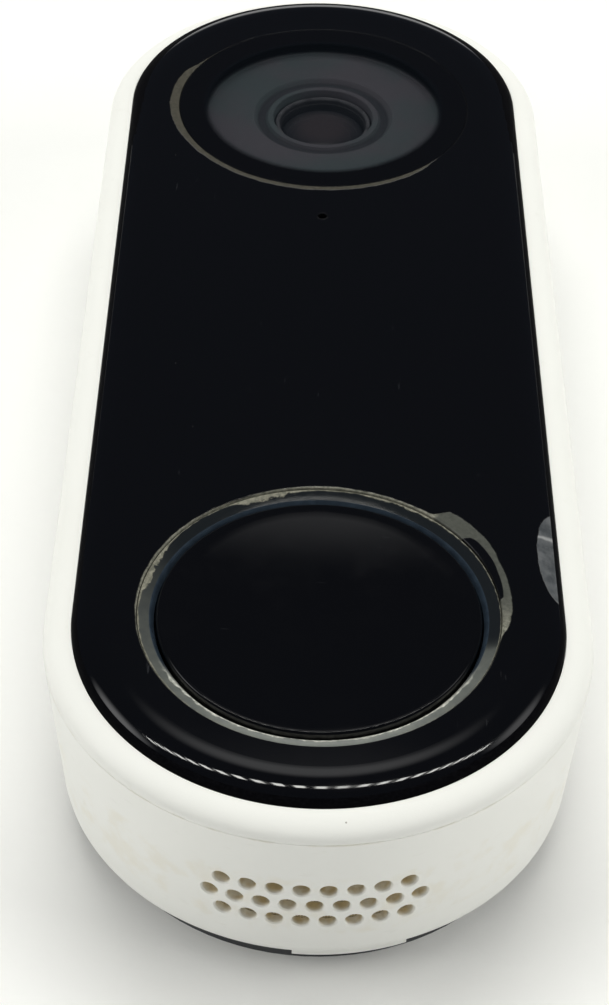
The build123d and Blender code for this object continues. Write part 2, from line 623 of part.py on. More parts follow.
with BuildPart() as speaker_magnet:
    with BuildSketch(speaker_plane(FRAME_BACK + YOKE_DEPTH)):
        Circle(3.9)
    extrude(amount=YOKE_DEPTH)
    with BuildSketch(speaker_plane(FRAME_BACK + YOKE_DEPTH - 0.9)):
        Circle(3.1)
        Circle(2.1, mode=Mode.SUBTRACT)
    extrude(amount=YOKE_DEPTH, mode=Mode.SUBTRACT)
pieces["speaker_magnet"] = speaker_magnet

with BuildPart() as speaker_cone:
    with BuildSketch(speaker_plane(SPEAKER_FRONT + 1.4)):
        oval(1.2)
    extrude(amount=0.4)
    with BuildSketch(speaker_plane(SPEAKER_FRONT + 1.0)):
        Circle(2.6)
    extrude(amount=0.5, taper=30)
    with BuildSketch(speaker_plane(FRAME_BACK + 1.6)):
        Circle(2.75)
        Circle(2.45, mode=Mode.SUBTRACT)
    extrude(amount=FRAME_BACK + 1.6 - SPEAKER_FRONT - 1.4)
pieces["speaker_cone"] = speaker_cone

with BuildPart() as speaker_gasket:
    with BuildSketch(speaker_plane(SPEAKER_FRONT)):
        oval(0.1)
        oval(0.9, Mode.SUBTRACT)
    extrude(amount=0.5)
pieces["speaker_gasket"] = speaker_gasket

with BuildPart() as speaker_mesh:
    with BuildSketch(Plane.XY.offset(POCKET_Z + 0.2)):
        grille_arc(POCKET_R - 0.3, POCKET_R - 0.05, POCKET_WIDTH - 0.6)
    extrude(amount=POCKET_HEIGHT - 0.4)
pieces["speaker_mesh"] = speaker_mesh

# Write one file per piece ------------------------------------------------------------------------
for name, piece in pieces.items():
    piece.part.label = name
    export_step(piece.part, f"parts/{name}.step")
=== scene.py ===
"""Looks of a wired video doorbell that lies on its back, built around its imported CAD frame.

Shapes are worked out in millimetres and turned into metres when a mesh is made.
Profiles are (radius, height) outlines, swept round the racetrack body or turned about an axis.
"""
import json
import math

import bmesh
import bpy
from mathutils import Matrix, Vector
from mathutils.geometry import delaunay_2d_cdt

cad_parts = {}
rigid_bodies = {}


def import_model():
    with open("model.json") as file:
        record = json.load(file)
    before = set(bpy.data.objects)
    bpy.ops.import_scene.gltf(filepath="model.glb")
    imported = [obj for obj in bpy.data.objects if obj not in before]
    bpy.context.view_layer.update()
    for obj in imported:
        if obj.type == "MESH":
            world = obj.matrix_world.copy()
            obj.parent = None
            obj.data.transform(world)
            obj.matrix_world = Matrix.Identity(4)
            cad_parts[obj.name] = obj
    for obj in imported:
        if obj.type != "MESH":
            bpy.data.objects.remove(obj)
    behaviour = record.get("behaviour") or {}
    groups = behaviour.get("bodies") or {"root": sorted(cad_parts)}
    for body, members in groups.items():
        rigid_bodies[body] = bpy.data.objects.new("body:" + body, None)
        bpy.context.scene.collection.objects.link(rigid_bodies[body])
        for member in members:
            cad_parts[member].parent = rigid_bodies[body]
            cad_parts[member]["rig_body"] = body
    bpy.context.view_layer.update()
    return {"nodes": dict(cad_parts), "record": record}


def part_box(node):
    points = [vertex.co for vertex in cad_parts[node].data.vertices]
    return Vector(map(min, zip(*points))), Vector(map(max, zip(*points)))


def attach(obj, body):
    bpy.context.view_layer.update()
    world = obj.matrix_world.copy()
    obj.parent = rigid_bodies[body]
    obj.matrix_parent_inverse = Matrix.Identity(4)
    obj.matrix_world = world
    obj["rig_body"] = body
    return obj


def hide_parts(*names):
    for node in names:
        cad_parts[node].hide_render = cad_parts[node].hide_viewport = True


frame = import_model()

MM = 0.001
ARC_STEPS = 120  # divisions of each half-circle end
SIDE_STEPS = 40  # divisions of each straight side
TURN_STEPS = 192  # divisions of a turned piece

node_slot = {part["node"]: part["material_slot"] for part in frame["record"]["subparts"]}


# Places and sizes read from the frame ------------------------------------------------------------
def box_mm(node):
    """Lowest and highest corner of a CAD node in millimetres."""
    low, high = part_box(node)
    return low / MM, high / MM


def middle(node):
    """Centre of a CAD node in plan."""
    low, high = box_mm(node)
    return (low.x + high.x) / 2, (low.y + high.y) / 2


panel_low, panel_high = box_mm("front_panel")
shell_low, shell_high = box_mm("back_shell")
ring_low, ring_high = box_mm("light_ring")
cap_low, cap_high = box_mm("button_cap")
window_low, window_high = box_mm("camera_window")
_, barrel_high = box_mm("lens_barrel")
lens_low, _ = box_mm("front_lens")

BUTTON = middle("button_cap")
CAMERA = middle("camera_window")
MICROPHONE = middle("mic_mesh")
SPAN = (panel_high.y - panel_low.y - panel_high.x + panel_low.x) / 2  # half of a straight side
PANEL_R, PANEL_TOP, PANEL_BACK = panel_high.x, panel_high.z, panel_low.z
BODY_R, SEAM_Z = shell_high.x, shell_high.z
RING_R, RING_TOP = ring_high.x, ring_high.z
CAP_TOP = cap_high.z
WINDOW_R, WINDOW_TOP = window_high.x, window_high.z

# Sizes that the nodes' boxes don't give
PANEL_EDGE, BEVEL = 18.15, 3.0  # height where the panel's rounded rim ends, and the rim's width
EDGE_NEAR, EDGE_FAR = 0.45, 1.3  # width of the rim's unpolished strip, wider at the camera end
EDGE_WIDENS_FROM, EDGE_WIDENS_OVER = SPAN - 10, 12  # where along the body the strip widens
FOOT_R, FOOT_Z = 20.5, 2.2  # rear edge of the white wall
BORE_R = 19.2  # inner face of the white wall
TAB_START, TAB_SWEEP = -94.7, 26.2  # degrees round the button end
RING_HOLE_R = RING_R + 0.05
CAP_R, CAP_DISH = 12.7, 0.6
POCKET_R, POCKET_LOW, POCKET_HIGH = 20.0, 4.8, 12.9
POCKET_HALF = 30.7  # degrees to each side of the button end's middle
GRILLE_HOLE_R, GRILLE_SIDES = 0.65, 28
GRILLE_ROWS = ((11.0, 8), (9.1, 9), (7.2, 8))  # (height, count) of each row of speaker holes
GRILLE_STEP = math.radians(5.5)
NICK_X, NICK_Y, NICK_HALF_X, NICK_HALF_Y = PANEL_R + 0.1, -30.2, 1.95, 5.4
CRACK_LOW, CRACK_HIGH = -28.2, -27.9  # along the body
TABLE_R, TABLE_CURVE = 1000, 300  # flat radius, and radius of the curve up into the backdrop


# Mesh helpers ------------------------------------------------------------------------------------
def rounded(corners, steps=5):
    """Outline through (radius, height, rounding) corners, each rounded with a small arc."""
    points = []
    for i, (r, z, rounding) in enumerate(corners):
        here = Vector((r, z))
        if not rounding:
            points.append(here)
            continue
        before = (Vector(corners[i - 1][:2]) - here).normalized()
        after = (Vector(corners[(i + 1) % len(corners)][:2]) - here).normalized()
        half = before.angle(after) / 2
        centre = here + (before + after).normalized() * rounding / math.sin(half)
        start = (here + before * rounding / math.tan(half) - centre).normalized()
        end = (here + after * rounding / math.tan(half) - centre).normalized()
        for step in range(steps + 1):
            points.append(centre + start.slerp(end, step / steps) * rounding)
    return points


def racetrack_stations():
    """Centre point and outward direction at each step round the body."""
    stations = []
    for side, start in ((1, 0.0), (-1, math.pi)):
        for step in range(SIDE_STEPS):
            y = side * SPAN * (2 * step / SIDE_STEPS - 1)
            stations.append(((0.0, y), (float(side), 0.0)))
        for step in range(ARC_STEPS):
            angle = start + math.pi * step / ARC_STEPS
            stations.append(((0.0, side * SPAN), (math.cos(angle), math.sin(angle))))
    return stations


def turned_stations(centre, steps=TURN_STEPS):
    """Centre point and outward direction at each step of a full turn."""
    angles = (math.tau * step / steps for step in range(steps))
    return [(centre, (math.cos(angle), math.sin(angle))) for angle in angles]


def end_stations(start_deg, sweep_deg, steps):
    """Centre point and outward direction along part of the round button end."""
    angles = [math.radians(start_deg + sweep_deg * step / steps) for step in range(steps + 1)]
    return [((0.0, -SPAN), (math.cos(a), math.sin(a))) for a in angles]


def place(station, r, z):
    """Point at a radius and height from a station."""
    (cx, cy), (dx, dy) = station
    return Vector((cx + r * dx, cy + r * dy, z))


def skin(bm, stations, profile, closed=True, around=True):
    """Quads between copies of the profile at each station; returns the rows of vertices."""
    rows = [[bm.verts.new(place(station, r, z)) for r, z in profile] for station in stations]
    count = len(profile)
    for i in range(len(rows) if around else len(rows) - 1):
        a, b = rows[i], rows[(i + 1) % len(rows)]
        for j in range(count if closed else count - 1):
            k = (j + 1) % count
            bm.faces.new((a[j], b[j], b[k], a[k]))
    return rows


def capped_sweep(bm, stations, profile):
    """Closed shape swept along part of a turn."""
    rows = skin(bm, stations, profile, around=False)
    bm.faces.new(rows[0])
    bm.faces.new(rows[-1])


def fill_flat(bm, outline, holes, z):
    """Triangles at height z inside a convex outline, open inside each (centre, radius, loop) hole."""
    points, edges = [], []
    for loop in [outline] + [hole[2] for hole in holes]:
        first = len(points)
        points += [Vector((p[0], p[1])) for p in loop]
        edges += [(first + i, first + (i + 1) % len(loop)) for i in range(len(loop))]
    flat, _, faces, _, _, _ = delaunay_2d_cdt(points, edges, [], 0, 1e-6)
    verts = [bm.verts.new((p.x, p.y, z)) for p in flat]
    for face in faces:
        spot = sum((flat[i] for i in face), Vector((0, 0))) / len(face)
        if all((spot - Vector(centre)).length > radius for centre, radius, _ in holes):
            bm.faces.new([verts[i] for i in face])


def loop_at(stations, r):
    """Plan outline at one radius from the stations."""
    return [place(station, r, 0)[:2] for station in stations]


def mesh_object(name, bm):
    """Object in metres from a mesh in millimetres, its faces turned outward."""
    bmesh.ops.recalc_face_normals(bm, faces=bm.faces)
    bmesh.ops.scale(bm, vec=(MM, MM, MM), verts=bm.verts)
    mesh = bpy.data.meshes.new(name)
    bm.to_mesh(mesh)
    bm.free()
    made = bpy.data.objects.new(name, mesh)
    bpy.context.scene.collection.objects.link(made)
    return made


def smooth_shading(mesh, sharp_deg):
    """Smooth shading, with a crease wherever faces meet at more than this angle."""
    mesh.shade_smooth()
    mesh.set_sharp_from_angle(angle=math.radians(sharp_deg))


def make_piece(name, bm, material, node, sharp_deg=32):
    """Visible piece that rides on the CAD node's body in the node's place."""
    bmesh.ops.remove_doubles(bm, verts=bm.verts, dist=0.0008)
    piece = mesh_object(name, bm)
    piece.data.materials.append(material)
    smooth_shading(piece.data, sharp_deg)
    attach(piece, frame["nodes"][node]["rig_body"])
    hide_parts(node)
    return piece


def even_shading(piece):
    """Keep wide faces flat in shading, so small roundings don't spread over them."""
    weighted = piece.modifiers.new("even shading", "WEIGHTED_NORMAL")
    weighted.keep_sharp = True
    return piece


def turned_piece(name, centre, corners, material, node, steps=5, sharp_deg=32):
    """Piece made by turning one closed outline about a vertical axis."""
    bm = bmesh.new()
    skin(bm, turned_stations(centre), rounded(corners, steps))
    return even_shading(make_piece(name, bm, material, node, sharp_deg))


def cut(piece, cutter_bm):
    """Takes the cutter's volume, given in millimetres, out of a piece for good."""
    cutter = mesh_object("cutter", cutter_bm)
    boolean = piece.modifiers.new("holes", "BOOLEAN")
    boolean.operation, boolean.solver, boolean.object = "DIFFERENCE", "EXACT", cutter
    evaluated = piece.evaluated_get(bpy.context.evaluated_depsgraph_get())
    shape = bpy.data.meshes.new_from_object(evaluated)
    piece.modifiers.clear()
    piece.data = shape
    bpy.data.objects.remove(cutter)


# Material helper ---------------------------------------------------------------------------------
class Finish:
    """Node material round one Principled shader, its textures laid out in the object's millimetres."""

    def __init__(self, name, color, roughness, **sockets):
        self.material = bpy.data.materials.new(name)
        self.material.use_nodes = True
        self.tree = self.material.node_tree
        self.shader = self.tree.nodes["Principled BSDF"]
        self.set(self.shader, "Base Color", (*color, 1.0))
        self.set(self.shader, "Roughness", roughness)
        for socket, value in sockets.items():
            self.set(self.shader, socket.replace("_", " ").title().replace("Ior", "IOR"), value)
        scale = self.add("ShaderNodeVectorMath", operation="SCALE")
        self.tree.links.new(self.add("ShaderNodeTexCoord").outputs["Object"], scale.inputs[0])
        scale.inputs["Scale"].default_value = 1 / MM
        self.spot = scale.outputs[0]

    def add(self, kind, **settings):
        node = self.tree.nodes.new(kind)
        for key, value in settings.items():
            setattr(node, key, value)
        return node

    def set(self, node, socket, value):
        """Gives a socket a value, or links another socket to it."""
        if isinstance(value, bpy.types.NodeSocket):
            self.tree.links.new(value, node.inputs[socket])
        else:
            node.inputs[socket].default_value = value

    def math(self, operation, *values):
        node = self.add("ShaderNodeMath", operation=operation)
        for i, value in enumerate(values):
            self.set(node, i, value)
        return node.outputs[0]

    def axes(self):
        """Object x, y and z in millimetres."""
        split = self.add("ShaderNodeSeparateXYZ")
        self.set(split, 0, self.spot)
        return split.outputs[0], split.outputs[1], split.outputs[2]

    def polar(self, centre):
        """Distance from an upright axis, and the share of a turn round it from -X."""
        x, y, _ = self.axes()
        dx, dy = self.math("SUBTRACT", x, centre[0]), self.math("SUBTRACT", y, centre[1])
        squares = self.math("ADD", self.math("MULTIPLY", dx, dx), self.math("MULTIPLY", dy, dy))
        degrees = self.math("DEGREES", self.math("ARCTAN2", dy, dx))
        return self.math("SQRT", squares), self.math("DIVIDE", self.math("ADD", degrees, 180.0), 360.0)

    def noise(self, size, detail=3.0, stretch=(1, 1, 1), roughness=0.5):
        """Smooth random value from 0 to 1, with features about this many millimetres across."""
        mapping = self.add("ShaderNodeMapping")
        self.set(mapping, "Vector", self.spot)
        mapping.inputs["Scale"].default_value = stretch
        node = self.add("ShaderNodeTexNoise")
        self.set(node, "Vector", mapping.outputs[0])
        self.set(node, "Scale", 1 / size)
        self.set(node, "Detail", detail)
        self.set(node, "Roughness", roughness)
        return node.outputs["Fac"]

    def specks(self, spacing, radius, share):
        """Mask of small round specks in a share of the cells of a random grid."""
        cells = self.add("ShaderNodeTexVoronoi")
        self.set(cells, "Vector", self.spot)
        self.set(cells, "Scale", 1 / spacing)
        chosen = self.step(cells.outputs["Color"], 1 - share, 1 - share + 0.01)
        round_spot = self.step(cells.outputs["Distance"], radius / spacing, 0.5 * radius / spacing)
        return self.math("MULTIPLY", chosen, round_spot)

    def step(self, value, low, high, bottom=0.0, top=1.0):
        """Smooth change from bottom at low to top at high."""
        node = self.add("ShaderNodeMapRange", interpolation_type="SMOOTHSTEP")
        for socket, given in zip(range(5), (value, low, high, bottom, top)):
            self.set(node, socket, given)
        return node.outputs[0]

    def edge(self, value, at, soft, bottom=0.0, top=1.0):
        """Change from bottom to top as the value passes a place, which may be a socket."""
        return self.step(value, self.math("SUBTRACT", at, soft), self.math("ADD", at, soft), bottom, top)

    def band(self, value, low, high, soft):
        """1 between low and high, with soft edges."""
        return self.math("MULTIPLY", self.edge(value, low, soft), self.edge(value, high, soft, 1.0, 0.0))

    def curve(self, value, points):
        """Value from a smooth curve through (input, output) points, both from 0 to 1."""
        node = self.add("ShaderNodeFloatCurve")
        line = node.mapping.curves[0].points
        for _ in points[2:]:
            line.new(0.5, 0.5)
        for point, (x, y) in zip(line, points):
            point.location = (x, y)
        node.mapping.update()
        self.set(node, "Value", value)
        return node.outputs[0]

    def blend(self, factor, a, b):
        """Colour that turns from a to b with the factor."""
        node = self.add("ShaderNodeMix", data_type="RGBA")
        self.set(node, 0, factor)
        for socket, color in ((6, a), (7, b)):
            self.set(node, socket, color if isinstance(color, bpy.types.NodeSocket) else (*color, 1.0))
        return node.outputs[2]

    def mottle(self, pattern, a, b, low=0.35, high=0.65):
        """Colour that wanders between a and b with a random pattern."""
        return self.blend(self.step(pattern, low, high), a, b)

    def bump(self, height, depth, under=None):
        """Bumps this many millimetres deep, on top of any bumps passed as under."""
        node = self.add("ShaderNodeBump")
        self.set(node, "Height", height)
        self.set(node, "Distance", depth * MM)
        if under is not None:
            self.set(node, "Normal", under)
        return node.outputs[0]

    def finish(self, color=None, roughness=None, normal=None, alpha=None):
        """Links what was worked out to the shader and returns the material."""
        given = {"Base Color": color, "Roughness": roughness, "Normal": normal, "Alpha": alpha}
        for socket, value in given.items():
            if value is not None:
                self.set(self.shader, socket, value)
        return self.material


# Visible materials -------------------------------------------------------------------------------
SILVER = (0.24, 0.235, 0.19)
OLIVE = (0.10, 0.10, 0.08)
BRONZE = (0.066, 0.061, 0.046)
BLACK_COAT = (0.0022, 0.0023, 0.003)
SCRATCHED = (0.035, 0.037, 0.042)


def white_plastic():
    """Slightly warm moulded plastic: grain, faint yellowing, dirt at the seam and stained holes."""
    f = Finish("shell_white_low", (0.82, 0.82, 0.785), 0.42, ior=1.5)
    _, y, z = f.axes()
    yellowing = f.step(f.noise(14, 3), 0.4, 0.8, 0.0, 0.12)
    color = f.blend(yellowing, (0.86, 0.86, 0.825), (0.82, 0.805, 0.74))
    scuffs = f.math("MULTIPLY", f.step(f.noise(1.8, 4, (1, 1, 3)), 0.62, 0.78), 0.14)
    color = f.blend(scuffs, color, (0.64, 0.63, 0.57))
    seam = f.band(z, SEAM_Z - 0.10, SEAM_Z + 0.12, 0.07)
    seam = f.math("MULTIPLY", seam, f.step(f.noise(2.4, 4), 0.42, 0.66, 0.0, 0.30))
    color = f.blend(seam, color, (0.58, 0.53, 0.38))
    radius, _ = f.polar((0.0, -SPAN))
    slope = (BODY_R - FOOT_R) / (SEAM_Z - FOOT_Z)
    surface = f.math("ADD", f.math("MULTIPLY", f.math("SUBTRACT", z, FOOT_Z), slope), FOOT_R)
    depth = f.math("SUBTRACT", surface, radius)
    near_grille = f.math("MULTIPLY", f.band(z, 5.5, 12.5, 0.3), f.step(y, -SPAN, -SPAN - 3))
    halo = f.math("MULTIPLY", f.step(f.noise(2.2, 3), 0.45, 0.7, 0.0, 0.35), near_grille)
    color = f.blend(halo, color, (0.78, 0.73, 0.60))
    stain = f.step(f.noise(1.0, 3), 0.35, 0.65, 0.35, 0.95)
    inside = f.math("MULTIPLY", f.math("MULTIPLY", f.step(depth, 0.03, 0.55), stain), near_grille)
    color = f.blend(inside, color, (0.62, 0.50, 0.28))
    color = f.blend(f.math("MULTIPLY", f.specks(2.6, 0.09, 0.10), 0.75), color, (0.20, 0.17, 0.13))
    grain = f.noise(0.16, 2)
    roughness = f.step(f.noise(5, 4), 0.3, 0.7, 0.36, 0.50)
    return f.finish(color, roughness, f.bump(grain, 0.006, f.bump(f.noise(6, 2), 0.02)))


# How far chips, wear and the ring's painted reflection reach round each opening:
# (share of a turn from -X, share of the largest reach)
CHIP_REACH = (
    (0, 0.05), (0.1, 0.0), (0.2, 0.0), (0.42, 0.0), (0.46, 0.0), (0.48, 0.20), (0.51, 0.44), (0.56, 0.60),
    (0.61, 0.79), (0.632, 0.72), (0.645, 0.10), (0.68, 0.06), (0.75, 0.08), (0.82, 0.02), (0.9, 0.06),
    (1, 0.05),
)
ISLAND_REACH = (
    (0, 0), (0.5, 0), (0.506, 0.0), (0.518, 0.34), (0.55, 0.52), (0.585, 0.62), (0.6, 0.4), (0.606, 0.0),
    (1, 0),
)
WINDOW_WEAR = (
    (0, 0.66), (0.05, 0.52), (0.12, 0.36), (0.25, 0.38), (0.33, 0.34), (0.37, 0.16), (0.40, 0.0),
    (0.87, 0.0), (0.92, 0.2), (0.96, 0.62), (1, 0.62),
)
RIM_WEAR = (
    (0, 0.14), (0.12, 0.10), (0.2, 0.04), (0.35, 0.05), (0.5, 0.08), (0.6, 0.12), (0.66, 0.20),
    (0.75, 0.13), (0.775, 0.30), (0.80, 0.50), (0.825, 0.42), (0.84, 0.10), (0.91, 0.12), (0.93, 0.42),
    (0.965, 0.45), (0.98, 0.16), (1, 0.14),
)
# painted reflection: how far round the button the ring's pale tone reaches, standing in for a mirrored
# bright backdrop
RING_PAINTED_REFLECTION = (
    (0, 0.28), (0.05, 0.38), (0.13, 0.7), (0.25, 1.0), (0.37, 0.75), (0.455, 0.42), (0.475, 0.0),
    (0.9, 0.0), (0.95, 0.12), (1, 0.28),
)


def coating_chips(f, fine, wobble):
    """Mask and colour of the coating chipped off round the ring, with an island of it left standing."""
    r, turn = f.polar(BUTTON)
    reach = f.curve(turn, CHIP_REACH)
    edge = f.math("ADD", RING_HOLE_R, f.math("MULTIPLY", reach, 2.0))
    edge = f.math("ADD", edge, f.math("MULTIPLY", wobble, 0.22))
    chipped = f.edge(r, edge, 0.06, 1.0, 0.0)
    island_reach = f.curve(turn, ISLAND_REACH)
    island_edge = f.math("ADD", RING_HOLE_R - 0.4, f.math("MULTIPLY", island_reach, 2.0))
    island = f.math("MULTIPLY", f.edge(r, island_edge, 0.05, 1.0, 0.0), f.step(island_reach, 0.02, 0.06))
    chipped = f.math("MULTIPLY", chipped, f.math("SUBTRACT", 1.0, island))
    narrow_tone = f.mottle(fine, OLIVE, SILVER)
    wide_tone = f.mottle(fine, (0.045, 0.048, 0.040), (0.075, 0.078, 0.066), 0.3, 0.7)
    return chipped, f.blend(f.step(reach, 0.25, 0.5), narrow_tone, wide_tone)


def window_wear(f, fine, wobble):
    """Mask and colour of the bronze line worn round the window."""
    r, turn = f.polar(CAMERA)
    edge = f.math("ADD", WINDOW_R + 0.02, f.math("MULTIPLY", f.curve(turn, WINDOW_WEAR), 1.5))
    edge = f.math("ADD", edge, f.math("MULTIPLY", wobble, 0.25))
    return f.band(r, WINDOW_R + 0.06, edge, 0.07), f.mottle(fine, (0.035, 0.033, 0.025), BRONZE)


def side_nick(f, x, y, ragged, wobble):
    """Mask and colour of the cracked nick in the panel's right edge."""
    ex = f.math("DIVIDE", f.math("SUBTRACT", x, NICK_X), NICK_HALF_X)
    ey = f.math("DIVIDE", f.math("SUBTRACT", y, NICK_Y), NICK_HALF_Y)
    far = f.math("ADD", f.math("MULTIPLY", ex, ex), f.math("MULTIPLY", ey, ey))
    far = f.math("ADD", far, f.math("MULTIPLY", wobble, 0.25))
    crack = f.band(f.math("ADD", y, f.math("MULTIPLY", wobble, 0.6)), CRACK_LOW, CRACK_HIGH, 0.15)
    tone = f.mottle(ragged, (0.045, 0.05, 0.055), (0.11, 0.115, 0.12))
    return f.step(far, 0.93, 1.0, 1.0, 0.0), f.blend(f.math("MULTIPLY", crack, 0.6), tone, (0.4, 0.4, 0.4))


def panel_gloss():
    """Polished black panel: hazy smudges, hairline scratches, dust, and chipped coating."""
    f = Finish("panel_black_gloss", BLACK_COAT, 0.05, ior=1.5, coat_weight=0.3)
    f.set(f.shader, "Coat Roughness", 0.03)
    x, y, _ = f.axes()
    ragged = f.noise(1.3, 5, roughness=0.65)
    fine = f.noise(0.35, 4, roughness=0.7)
    scratch = f.step(f.noise(0.3, 2, (1.0, 0.12, 1.0)), 0.72, 0.78)
    scratch = f.math("MULTIPLY", scratch, f.step(f.noise(9, 2), 0.55, 0.65))
    dust = f.math("MAXIMUM", f.specks(1.7, 0.05, 0.25), f.specks(4.1, 0.10, 0.12))
    color = f.blend(f.math("MULTIPLY", dust, 0.6), BLACK_COAT, (0.10, 0.10, 0.10))
    color = f.blend(f.math("MULTIPLY", scratch, 0.30), color, SCRATCHED)

    wobble = f.math("MULTIPLY", f.math("SUBTRACT", ragged, 0.5), 1.1)
    chipped, chip_tone = coating_chips(f, fine, wobble)
    worn, worn_tone = window_wear(f, fine, wobble)
    nick, nick_tone = side_nick(f, x, y, ragged, wobble)
    for mask, tone in ((chipped, chip_tone), (worn, worn_tone), (nick, nick_tone)):
        color = f.blend(mask, color, tone)

    bare = f.math("MAXIMUM", f.math("MAXIMUM", chipped, worn), nick)
    haze = f.step(f.noise(11, 4, roughness=0.6), 0.35, 0.75, 0.03, 0.11)
    haze = f.math("ADD", haze, f.math("MULTIPLY", scratch, 0.2))
    roughness = f.math("ADD", haze, f.math("MULTIPLY", bare, 0.38))
    waviness = f.bump(f.noise(7, 1), 0.004)
    chip_depth = f.math("SUBTRACT", f.math("MULTIPLY", fine, f.math("MULTIPLY", bare, 0.5)), bare)
    return f.finish(color, roughness, f.bump(chip_depth, 0.05, waviness))


def ring_guide():
    """Smoky glossy light guide: worn pale outer rim, bluish inner chamfer, scraped near edge.

    Its near half carries a painted reflection, a paler tone for a bright backdrop mirrored there, to match
    the photograph's one view.
    """
    f = Finish("ring_light_guide", (0.012, 0.014, 0.016), 0.12, ior=1.25)
    _, y, _ = f.axes()
    r, turn = f.polar(BUTTON)
    ragged = f.noise(1.1, 5, roughness=0.7)
    fine = f.noise(0.4, 4, roughness=0.7)
    wobble = f.math("SUBTRACT", ragged, 0.5)
    # painted reflection: pale tone on the ring's near half, standing in for a bright backdrop mirrored
    # there
    painted_reflection_tone = f.mottle(ragged, (0.15, 0.16, 0.15), (0.19, 0.20, 0.18), 0.35, 0.7)
    color = f.blend(f.curve(turn, RING_PAINTED_REFLECTION), (0.010, 0.012, 0.014), painted_reflection_tone)
    chamfer = f.step(r, RING_R - 0.88, RING_R - 0.98)
    color = f.blend(chamfer, color, f.mottle(ragged, (0.020, 0.029, 0.042), (0.030, 0.044, 0.062)))
    inner = f.math("ADD", RING_R - 0.80, f.math("MULTIPLY", wobble, 0.9))
    near_side = f.step(y, BUTTON[1] - 5.0, BUTTON[1] - 8.5)
    scraped = f.math("MULTIPLY", f.edge(r, inner, 0.05, 1.0, 0.0), near_side)
    color = f.blend(scraped, color, f.mottle(fine, (0.26, 0.27, 0.24), (0.62, 0.62, 0.56)))
    reach = f.math("MULTIPLY", f.curve(turn, RIM_WEAR), f.step(ragged, 0.3, 0.6, 0.45, 1.25))
    rim = f.edge(r, f.math("SUBTRACT", RING_R + 0.02, reach), 0.05)
    color = f.blend(rim, color, f.mottle(fine, (0.12, 0.12, 0.095), (0.26, 0.25, 0.20)))
    worn = f.math("MAXIMUM", rim, scraped)
    roughness = f.math("ADD", f.step(fine, 0.3, 0.7, 0.07, 0.16), f.math("MULTIPLY", worn, 0.3))
    return f.finish(color, roughness, f.bump(f.math("MULTIPLY", fine, worn), 0.05, f.bump(ragged, 0.01)))


def ground_edge():
    """Unpolished black edge of the panel, too rough to shine."""
    f = Finish("panel_edge_ground", (0.002, 0.002, 0.003), 0.8, ior=1.1)
    speck = f.noise(0.2, 3)
    color = f.mottle(speck, (0.0016, 0.0016, 0.0022), (0.004, 0.004, 0.005), 0.4, 0.7)
    return f.finish(color, f.step(speck, 0.3, 0.7, 0.6, 0.8), f.bump(speck, 0.01))


def cap_gloss():
    """Glossy black cap with patchy haze, fine scratches and dust."""
    f = Finish("cap_black_gloss", BLACK_COAT, 0.05, ior=1.5)
    swirls = f.step(f.noise(0.3, 2, (0.15, 1.0, 1.0)), 0.72, 0.78)
    swirls = f.math("MULTIPLY", swirls, f.step(f.noise(6, 2), 0.5, 0.6))
    dust = f.math("MAXIMUM", f.specks(1.9, 0.06, 0.2), f.specks(5.0, 0.13, 0.15))
    color = f.blend(f.math("MULTIPLY", dust, 0.6), BLACK_COAT, (0.11, 0.11, 0.105))
    color = f.blend(f.math("MULTIPLY", swirls, 0.25), color, SCRATCHED)
    haze = f.step(f.noise(4, 5, roughness=0.6), 0.35, 0.75, 0.04, 0.13)
    return f.finish(color, haze, f.bump(f.noise(5, 1), 0.003))


def window_glass():
    """Smoked camera pane: clear over the camera, printed black round its border."""
    f = Finish("window_smoked_glass", (0.004, 0.005, 0.007), 0.04, ior=1.5)
    r, _ = f.polar(CAMERA)
    ragged = f.math("MULTIPLY", f.math("SUBTRACT", f.noise(6, 2), 0.5), 0.25)
    printed = f.step(f.math("ADD", r, ragged), 11.3, 12.2)
    dust = f.math("MULTIPLY", f.specks(2.1, 0.05, 0.2), 0.5)
    color = f.blend(dust, f.blend(printed, (0.006, 0.008, 0.011), BLACK_COAT), (0.12, 0.12, 0.12))
    alpha = f.math("MAXIMUM", f.math("ADD", 0.30, f.math("MULTIPLY", printed, 0.70)), dust)
    haze = f.step(f.noise(7, 4), 0.35, 0.75, 0.03, 0.09)
    return f.finish(color, haze, f.bump(f.noise(8, 1), 0.002), alpha)


def shroud_plastic():
    """Blue-grey moulded shroud with turning rings, mauve cast and a darker step round the lens."""
    f = Finish("shroud_blue_grey", (0.10, 0.12, 0.14), 0.5, ior=1.45)
    r, _ = f.polar(CAMERA)
    color = f.mottle(f.noise(9, 3), (0.105, 0.130, 0.140), (0.135, 0.128, 0.148), 0.4, 0.65)
    color = f.blend(f.band(r, 5.75, 6.6, 0.15), color, (0.06, 0.064, 0.075))
    rings = f.math("SINE", f.math("MULTIPLY", r, 40.0))
    speck = f.noise(0.12, 2)
    return f.finish(color, f.step(speck, 0.3, 0.7, 0.42, 0.6), f.bump(speck, 0.01, f.bump(rings, 0.006)))


def lens_coating():
    """Front lens with a dim purple-brown coating and cleaning haze."""
    f = Finish("lens_coated", (0.012, 0.009, 0.011), 0.03, ior=1.7, coat_weight=0.6)
    r, _ = f.polar(CAMERA)
    tint = f.blend(f.step(r, 1.5, 4.1), (0.075, 0.062, 0.068), (0.035, 0.038, 0.045))
    tint = f.blend(f.math("MULTIPLY", f.specks(1.1, 0.04, 0.2), 0.4), tint, (0.1, 0.1, 0.1))
    return f.finish(tint, f.step(f.noise(1.5, 3), 0.35, 0.7, 0.02, 0.07), f.bump(f.noise(3, 1), 0.001))


